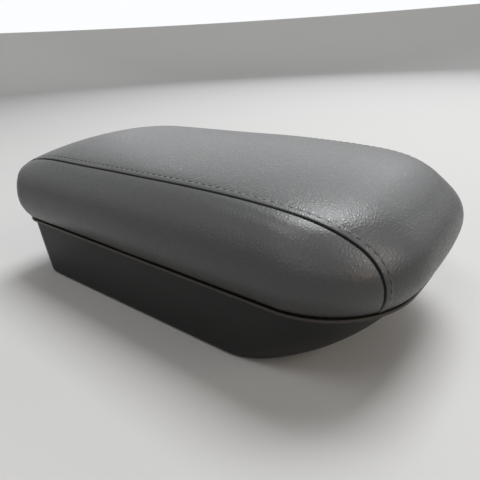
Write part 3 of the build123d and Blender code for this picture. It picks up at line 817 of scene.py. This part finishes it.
def felt_material(finish):
    """Needled felt: matted fibres, clumps of tone and a soft sheen."""
    material, tree, shader, spot = new_material("needled_felt")
    fibres = effect(tree, "matted_fibres", stretched(tree, spot, (1.0, 0.35, 1.0)), 2600.0)
    base = toned(tree, fibres["Height"], finish.felt, 0.5, 1.9)
    rough = ranged(tree, fibres["Tone"], 0.85, 0.98)
    sheen = {"Sheen_Weight": 0.35, "Sheen_Roughness": 0.6}
    wire(tree, shader, base, rough, fibres["Height"], depth=0.0005, **sheen)
    return material


def foam_material(finish):
    """Charcoal foam with open cells."""
    material, tree, shader, spot = new_material("open_cell_foam")
    pores = effect(tree, "matted_fibres", spot, 1100.0)
    base = toned(tree, pores["Height"], finish.foam, 0.5, 1.5)
    wire(tree, shader, base, ranged(tree, pores["Tone"], 0.85, 0.97), pores["Height"], depth=0.0006)
    return material


def plywood_material(finish):
    """Birch plywood: grain lines along the lid, and plies of two tones through the board."""
    material, tree, shader, spot = new_material("birch_plywood")
    lines = noise(tree, stretched(tree, spot, (0.06, 1.0, 1.0)), 420.0, detail=4.0, roughness=0.6)
    plies = bands(tree, spot, 130.0, "Z", distortion=0.4)
    tone = math_node(tree, "MULTIPLY", lines, ranged(tree, plies, 0.7, 1.15))
    base = toned(tree, tone, finish.plywood, 1.25, 0.6)
    wire(tree, shader, base, ranged(tree, lines, 0.55, 0.72), lines, depth=0.0001)
    return material


def steel_material(name, tint, metallic, dullness, fineness):
    """Rolled steel: brushed lines in the gloss, stains in the tone."""
    material, tree, shader, spot = new_material(name)
    brushed = effect(tree, "brushed_lines", spot, fineness)
    base = toned(tree, brushed["Stain"], tint, 1.25, 0.7)
    rough = ranged(tree, brushed["Height"], *dullness)
    wire(tree, shader, base, rough, brushed["Height"], depth=0.00003, Metallic=metallic)
    return material


def ferrite_material(finish):
    """Sintered ferrite: dark grey with bright specks."""
    material, tree, shader, spot = new_material("sintered_ferrite")
    grain = effect(tree, "moulded_grain", spot, 3400.0)
    base = toned(tree, grain["Height"], finish.ferrite, 0.6, 1.9)
    wire(tree, shader, base, ranged(tree, grain["Tone"], 0.45, 0.62), grain["Height"], depth=0.00005)
    return material


def paint(piece, material):
    """Puts the material on a piece in place of what it had."""
    piece.data.materials.clear()
    piece.data.materials.append(material)


def paint_nodes(material, *names):
    """Puts the material on CAD nodes, which keep their shape."""
    for name in names:
        paint(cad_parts[name], material)


def settle(piece, slot, *nodes):
    """A soft piece rides on the lid and stands for the CAD nodes, if any; its slot is not used."""
    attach(piece, "lid")
    if nodes:
        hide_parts(*nodes)


# Operators


class Sewn:
    """What the cover's operators share: the form, the seam on the pattern and the seam in space."""

    HEM_SHARE = 0.12
    # Gain of the mask by which shade is painted into the seam's groove
    GROOVE_SHADE_GAIN = 1.6
    # Shares of the topstitch's sink: all along the channel, and more at a needle hole
    CHANNEL_SHARE = 0.6
    HOLE_SHARE = 0.8

    def __init__(self, scene):
        self.sewing = scene.armrest_sewing
        self.form = scene.armrest_cushion
        self.finish = scene.armrest_finish
        self.cushion = Cushion(self.form)
        self.seam = seam_pattern(self.cushion, self.sewing, SEAM_POINTS)
        self.line, normal = self.cushion.skin_and_normal(*self.seam.T)
        self.bottom = self.line - normal * self.fold_depth(self.line, np.zeros(SEAM_POINTS))[:, None]
        self.rows = evenly(self.seam, ROWS)

    def near(self, points, line):
        """Distance from a left-hand line or its mirror image, by folding the points over the middle."""
        return nearest_on_line(points * (1, 0, 1) + np.abs(points) * (0, 1, 0), line)

    def fullness(self, points):
        """Share of its depth that the groove has: little at the hem, all of it from a finger's width up."""
        rise = points[..., 2] - self.form.underside
        return np.clip(rise / self.sewing.groove_rise, self.HEM_SHARE, 1)

    def fold_depth(self, points, distance):
        """Depth of the skin at a distance from the seam: a steep bell for the groove, a wide soft pull."""
        sewing = self.sewing
        groove = sewing.groove * np.exp(-((distance / sewing.groove_width) ** 4))
        return self.fullness(points) * (groove + sewing.pull * np.exp(-distance / sewing.pull_reach))

    def needle(self, distance, along):
        """Depth of the topstitch's channel, a bell across the row, deeper at each needle hole."""
        sewing = self.sewing
        bell = np.exp(-(((distance - sewing.row_gap) / sewing.row_width) ** 2))
        hole = 0.5 + 0.5 * np.cos(2 * math.pi * along / sewing.pitch)
        return sewing.row_sink * bell * (self.CHANNEL_SHARE + self.HOLE_SHARE * hole**3)

    def top_depth(self, points, distance, along):
        """How deep the top panel lies under the smooth form.

        It is the sum of groove, pull, channel and unevenness, less the welt of the folded edge."""
        sewing = self.sewing
        depth = self.fold_depth(points, distance) + self.needle(distance, along)
        depth = depth + uneven(points, sewing.ripple) + sewing.ripple
        return depth - sewing.welt * np.exp(-((distance / sewing.row_gap) ** 6))

    def mark_groove_shade(self, mesh):
        """Notes on each point how deep in the groove it lies, from 0 on the open skin to 1 at the bottom.

        The leather paints shade into the groove by this mask, and dulls it.
        """
        points = np.empty(3 * len(mesh.vertices), dtype=np.float32)
        mesh.vertices.foreach_get("co", points)
        points = points.reshape(-1, 3).astype(float)
        distance, _ = self.near(points, self.bottom)
        groove_shade = self.GROOVE_SHADE_GAIN * (1 - distance / (self.sewing.groove * self.fullness(points)))
        values = np.clip(groove_shade, 0, 1).astype(np.float32)
        mesh.attributes.new("groove_shade", "FLOAT", "POINT").data.foreach_set("value", values)

    def dress(self, piece, cad_node):
        """Gives a panel its thickness, inwards, its leather and the CAD node that it stands for."""
        self.mark_groove_shade(piece.data)
        solid = piece.modifiers.new("thickness", "SOLIDIFY")
        solid.thickness = self.form.skin
        solid.offset = -1
        paint(piece, bpy.data.materials.get(LEATHER) or leather_material(self.finish))
        settle(piece, "leatherette", cad_node)


class ARMREST_OT_top_panel(Operator):
    """Sew the top panel, from hem to hem over both ends"""

    bl_idname = "armrest.top_panel"
    bl_label = "Top panel"

    def execute(self, context):
        sewn = Sewn(context.scene)
        pattern = top_pattern(sewn.cushion, sewn.rows, TOP_COLUMNS)
        points, normal = sewn.cushion.skin_and_normal(pattern[..., 0], pattern[..., 1])
        depth = sewn.top_depth(points, *sewn.near(points, sewn.line))
        piece = grid_mesh("leather_top_panel", points - normal * depth[..., None])
        sewn.dress(piece, "lid_top_panel")
        return {"FINISHED"}


class ARMREST_OT_side_panels(Operator):
    """Sew the two side panels under the shoulder seams"""

    bl_idname = "armrest.side_panels"
    bl_label = "Side panels"

    def execute(self, context):
        sewn = Sewn(context.scene)
        sewing = sewn.sewing
        pattern = side_pattern(sewn.cushion, sewn.rows, SIDE_COLUMNS)
        points, normal = sewn.cushion.skin_and_normal(pattern[..., 0], pattern[..., 1])
        distance, along = sewn.near(points, sewn.line)
        depth = sewn.fold_depth(points, distance) + sewing.ripple
        depth = depth + puckers(distance, along, sewing.pucker, 2 * sewing.pull_reach)
        for name, side in SIDES:
            turned = points * (1, side, 1)
            deep = depth + uneven(turned, sewing.ripple)
            skin = turned - normal * (1, side, 1) * deep[..., None]
            piece = grid_mesh(f"leather_side_panel_{name}", skin[:: -side])
            sewn.dress(piece, f"lid_side_panel_{name}")
        return {"FINISHED"}


class ARMREST_OT_foam_core(Operator):
    """Fill the cover with its foam core"""

    bl_idname = "armrest.foam_core"
    bl_label = "Foam core"

    AROUND = 360
    RINGS = 84
    SPINE = 0.085
    EDGE = -0.0366
    CLEARANCE = 0.0002
    CHANNEL = 0.0034
    CHANNEL_GAIN = 1.2
    # The line that the edge is found from: shares of the half-length and of the width, and how square it is
    LENGTH_SHARE = 0.96
    WIDTH_SHARE = 0.46
    SQUARENESS = 0.5

    def execute(self, context):
        """Rings on the pattern, from a line along the lid's middle out to the edge of the board.

        They lie under the leather, with a bell-shaped channel along each seam, and a flat floor on the board
        closes them underneath."""
        sewn = Sewn(context.scene)
        sewing = sewn.sewing

        def squared(wave):
            return np.sign(wave) * np.abs(wave) ** self.SQUARENESS

        turn = np.linspace(0, 2 * math.pi, 4 * self.AROUND + 1)
        x = -self.LENGTH_SHARE * sewn.cushion.front * squared(np.cos(turn))
        y = self.WIDTH_SHARE * sewn.form.rear_width * squared(np.sin(turn))
        edge = np.stack(sewn.cushion.moved_to(x, y, self.EDGE), -1)
        edge = evenly(edge, self.AROUND + 1)[:-1]
        spine = np.stack([np.clip(edge[:, 0], -self.SPINE, self.SPINE), 0 * edge[:, 0]], -1)
        outwards = np.linspace(0, 1, self.RINGS)[:, None, None]
        pattern = spine + outwards * (edge - spine)
        points, normal = sewn.cushion.skin_and_normal(pattern[..., 0], pattern[..., 1])
        distance, _ = sewn.near(points, sewn.line)
        channel = np.exp(-((distance / self.CHANNEL) ** 2))
        channel = self.CHANNEL_GAIN * (sewing.groove + sewing.pull) * channel
        depth = sewn.form.skin + 2 * sewing.ripple + self.CLEARANCE + channel
        bun = points - normal * depth[..., None]
        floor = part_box("lid_board")[1].z
        bun[..., 2] = np.maximum(bun[..., 2], floor)
        rim = bun[-1:] * (1, 1, 0) + (0, 0, floor)
        middle = bun[:1] * (1, 1, 0) + (0, 0, floor)
        piece = grid_mesh("foam_core", np.concatenate([bun, rim, middle]), wrap=True)
        paint(piece, foam_material(sewn.finish))
        settle(piece, "foam", "lid_foam")
        return {"FINISHED"}


class ARMREST_OT_topstitch(Operator):
    """Lay the two rows of topstitch beside the seams"""

    bl_idname = "armrest.topstitch"
    bl_label = "Topstitch"

    AROUND = 8
    ALONG = 11
    SLANT = 0.00012
    # How far a stitch stands over its bed at the middle, and dives at its ends, in thread radii
    STAND = 0.2
    DIVE = 2.6

    def execute(self, context):
        """Each stitch is a tube along the row whose ends dive into the skin and close to a point."""
        sewn = Sewn(context.scene)
        sewing = sewn.sewing
        way = unit(np.gradient(sewn.seam, axis=0))
        row = sewn.seam + np.stack([way[:, 1], -way[:, 0]], -1) * sewing.row_gap
        points, normal = sewn.cushion.skin_and_normal(*row.T)
        run = run_along(points)
        centres = np.arange(sewing.pitch, run[-1] - sewing.pitch, sewing.pitch)
        t = np.linspace(-1, 1, self.ALONG)
        stations = centres[:, None] + t * sewing.stitch / 2

        def read(columns):
            return np.stack([np.interp(stations, run, c) for c in columns.T], -1)

        middle, up = read(points), unit(read(normal))
        beside = np.cross(unit(np.gradient(middle, axis=1)), up)
        middle = middle + beside * (self.SLANT * t)[:, None]
        arch = sewing.thread * (self.STAND - self.DIVE * t**4)
        radius = sewing.thread * np.sqrt(np.clip(1 - t**8, 0, 1))
        phi = np.linspace(0, 2 * math.pi, self.AROUND, endpoint=False)
        ring = np.cos(phi)[:, None] * up[:, :, None] + np.sin(phi)[:, None] * beside[:, :, None]
        index = np.arange(ring[..., 0].size).reshape(ring.shape[:3])
        turned = np.roll(index, -1, 2)
        quads = np.stack([index[:, :-1], turned[:, :-1], turned[:, 1:], index[:, 1:]], -1).reshape(-1, 4)
        gap = np.full(len(points), sewing.row_gap)
        between = np.full(len(points), sewing.pitch / 2)
        material = thread_material(sewn.finish)
        for name, side in SIDES:
            bed = np.interp(stations, run, sewn.top_depth(points * (1, side, 1), gap, between))
            spine = middle + up * (arch - bed)[..., None]
            tube = (spine[:, :, None] + radius[:, None, None] * ring).reshape(-1, 3)
            piece = quad_mesh(f"topstitch_{name}", tube * (1, side, 1), quads[:, ::side])
            paint(piece, material)
            settle(piece, "leatherette")
        return {"FINISHED"}


class ARMREST_OT_lid_finishes(Operator):
    """Finish the lid's board and lining, and the plated pieces of lid and box"""

    bl_idname = "armrest.lid_finishes"
    bl_label = "Lid finishes"

    def execute(self, context):
        finish = context.scene.armrest_finish
        zinc = steel_material("plated_steel", finish.zinc, 1.0, dullness=(0.32, 0.5), fineness=900.0)
        paint_nodes(plywood_material(finish), "lid_board")
        paint_nodes(felt_material(finish), "lid_lining")
        paint_nodes(zinc, "catch_striker", "striker_screws", "lining_screws")
        paint_nodes(zinc, "mounting_plate", "plate_rivets")
        return {"FINISHED"}


class ARMREST_OT_box_finishes(Operator):
    """Finish the storage box, its hinge, magnet, bumpers and mat"""

    bl_idname = "armrest.box_finishes"
    bl_label = "Box finishes"

    def execute(self, context):
        finish = context.scene.armrest_finish
        black = steel_material(
            "blackened_steel", finish.steel, 0.85, dullness=(0.38, 0.55), fineness=1200.0
        )
        paint_nodes(plastic_material(finish), "box_shell")
        paint_nodes(black, "hinge_box_leaf", "hinge_lid_leaf", "hinge_pin")
        paint_nodes(black, "hinge_box_screws", "hinge_lid_screws")
        paint_nodes(ferrite_material(finish), "catch_magnet")
        paint_nodes(rubber_material(finish), "rim_bumpers")
        paint_nodes(mat_material(finish), "floor_mat")
        return {"FINISHED"}


class ARMREST_OT_studio(Operator):
    """Set up the floor, the lamps and the camera"""

    bl_idname = "armrest.studio"
    bl_label = "Studio"

    FLAT_RADIUS = 2.3
    BEND_RADIUS = 0.3
    BEND_STEPS = 24
    TURNS = 96
    AIM = (0.0, 0.0, 0.06)

    def execute(self, context):
        studio = context.scene.armrest_studio
        self.floor(studio)
        for name, watts, azimuth, height, reach, spread, tint in (
            ("top_softbox", studio.top_power, 172, 70, 2.2, (1.05, 1.05), (0.98, 0.99, 1.0)),
            ("high_softbox", studio.high_power, -15, 64, 2.2, (1.4, 0.55), (1.0, 1.0, 1.0)),
            ("front_softbox", studio.front_power, -5, 26, 2.1, (2.0, 1.0), (1.0, 0.985, 0.97)),
            ("rear_softbox", studio.rear_power, -150, 28, 2.1, (2.2, 1.0), (0.98, 0.99, 1.0)),
            ("far_softbox", studio.far_power, 166, 34, 2.1, (1.6, 1.0), (0.98, 0.99, 1.0)),
            ("nose_softbox", studio.nose_power, 92, 36, 2.0, (0.8, 0.7), (1.0, 0.93, 0.86)),
            ("warm_bounce", studio.warm_power, 75, 14, 2.0, (0.6, 0.3), (1.0, 0.72, 0.5)),
        ):
            self.lamp(name, watts, math.radians(azimuth), math.radians(height), reach, spread, tint)
        self.world(context.scene, studio)
        self.camera(context.scene, studio)
        context.scene.view_settings.view_transform = "Standard"
        return {"FINISHED"}

    def floor(self, studio):
        """Round floor: a flat disc, then a quarter circle upwards, turned about the upright axis."""
        flat = np.linspace(0, self.FLAT_RADIUS, self.BEND_STEPS)
        bend = np.linspace(0, math.pi / 2, self.BEND_STEPS)[1:]
        radius = np.concatenate([flat, self.FLAT_RADIUS + self.BEND_RADIUS * np.sin(bend)])[:, None]
        height = np.concatenate([0 * flat, self.BEND_RADIUS * (1 - np.cos(bend))])[:, None]
        phi = np.linspace(0, 2 * math.pi, self.TURNS, endpoint=False)
        points = np.stack(np.broadcast_arrays(radius * np.cos(phi), radius * np.sin(phi), height), -1)
        piece = grid_mesh("studio_floor", points, wrap=True)
        material, tree, shader, spot = new_material("studio_floor")
        base = toned(tree, noise(tree, spot, 3.0), studio.floor, 0.985, 1.0)
        tree.links.new(base, shader.inputs["Base Color"])
        shader.inputs["Roughness"].default_value = 0.9
        shader.inputs["Specular IOR Level"].default_value = 0.1
        paint(piece, material)

    def seen(self, tree):
        """1 for the rays that show the background: from the camera, and by way of gloss or glass."""
        path = node(tree, "ShaderNodeLightPath").outputs
        mirrored = math_node(tree, "MAXIMUM", path["Is Glossy Ray"], path["Is Transmission Ray"])
        return math_node(tree, "MAXIMUM", path["Is Camera Ray"], mirrored)

    def lamp(self, name, watts, azimuth, height, reach, spread, tint):
        """Softbox that looks at the part from an azimuth, round from the right-hand side, and a height."""
        level = math.cos(height)
        way = Vector((math.sin(azimuth) * level, -math.cos(azimuth) * level, math.sin(height)))
        data = bpy.data.lights.new(name, "AREA")
        data.shape = "RECTANGLE"
        data.size, data.size_y = spread
        data.energy = watts
        data.color = tint
        made = bpy.data.objects.new(name, data)
        made.location = Vector(self.AIM) + reach * way
        made.rotation_euler = (-way).to_track_quat("-Z", "Y").to_euler()
        made.visible_camera = False
        bpy.context.collection.objects.link(made)

    def world(self, scene, studio):
        """An even sky that lights a little, and is white where it is seen."""
        scene.world = bpy.data.worlds.new("studio")
        scene.world.use_nodes = True
        tree = scene.world.node_tree
        back = tree.nodes["Background"]
        back.inputs["Color"].default_value = (0.97, 0.985, 1.0, 1.0)
        tree.links.new(ranged(tree, self.seen(tree), studio.sky, 1.0), back.inputs["Strength"])

    def camera(self, scene, studio):
        """Camera turned to the azimuth, tipped down by the pitch and leaned by the roll."""
        data = bpy.data.cameras.new("camera")
        data.lens = studio.lens
        data.clip_start = 0.01
        made = bpy.data.objects.new("camera", data)
        turn = (
            Matrix.Rotation(studio.azimuth, 3, "Z")
            @ Matrix.Rotation(math.pi / 2 - studio.pitch, 3, "X")
            @ Matrix.Rotation(studio.roll, 3, "Z")
        )
        made.matrix_world = Matrix.Translation(studio.camera) @ turn.to_4x4()
        bpy.context.collection.objects.link(made)
        scene.camera = made


class ARMREST_PT_panel(Panel):
    """The armrest's steps, in the order in which they run"""

    bl_idname = "ARMREST_PT_panel"
    bl_label = "Armrest"
    bl_space_type = "VIEW_3D"
    bl_region_type = "UI"
    bl_category = "Armrest"

    def draw(self, context):
        for step in STEPS:
            self.layout.operator(step.bl_idname)
        for group in GROUPS:
            box = self.layout.box()
            settings = getattr(context.scene, group)
            for key in settings.bl_rna.properties.keys():
                if key not in ("rna_type", "name"):
                    box.prop(settings, key)


STEPS = (
    ARMREST_OT_top_panel,
    ARMREST_OT_side_panels,
    ARMREST_OT_foam_core,
    ARMREST_OT_topstitch,
    ARMREST_OT_lid_finishes,
    ARMREST_OT_box_finishes,
    ARMREST_OT_studio,
)
GROUPS = {
    "armrest_cushion": ArmrestCushion,
    "armrest_sewing": ArmrestSewing,
    "armrest_finish": ArmrestFinish,
    "armrest_studio": ArmrestStudio,
}
CLASSES = (*GROUPS.values(), *STEPS, ARMREST_PT_panel)


def register():
    for item in CLASSES:
        bpy.utils.register_class(item)
    for name, group in GROUPS.items():
        setattr(bpy.types.Scene, name, PointerProperty(type=group))


def unregister():
    for name in GROUPS:
        delattr(bpy.types.Scene, name)
    for item in reversed(CLASSES):
        bpy.utils.unregister_class(item)


def main():
    """Registers the classes and runs the steps in order."""
    register()
    bpy.ops.armrest.top_panel()
    bpy.ops.armrest.side_panels()
    bpy.ops.armrest.foam_core()
    bpy.ops.armrest.topstitch()
    bpy.ops.armrest.lid_finishes()
    bpy.ops.armrest.box_finishes()
    bpy.ops.armrest.studio()


if __name__ == "__main__":
    main()
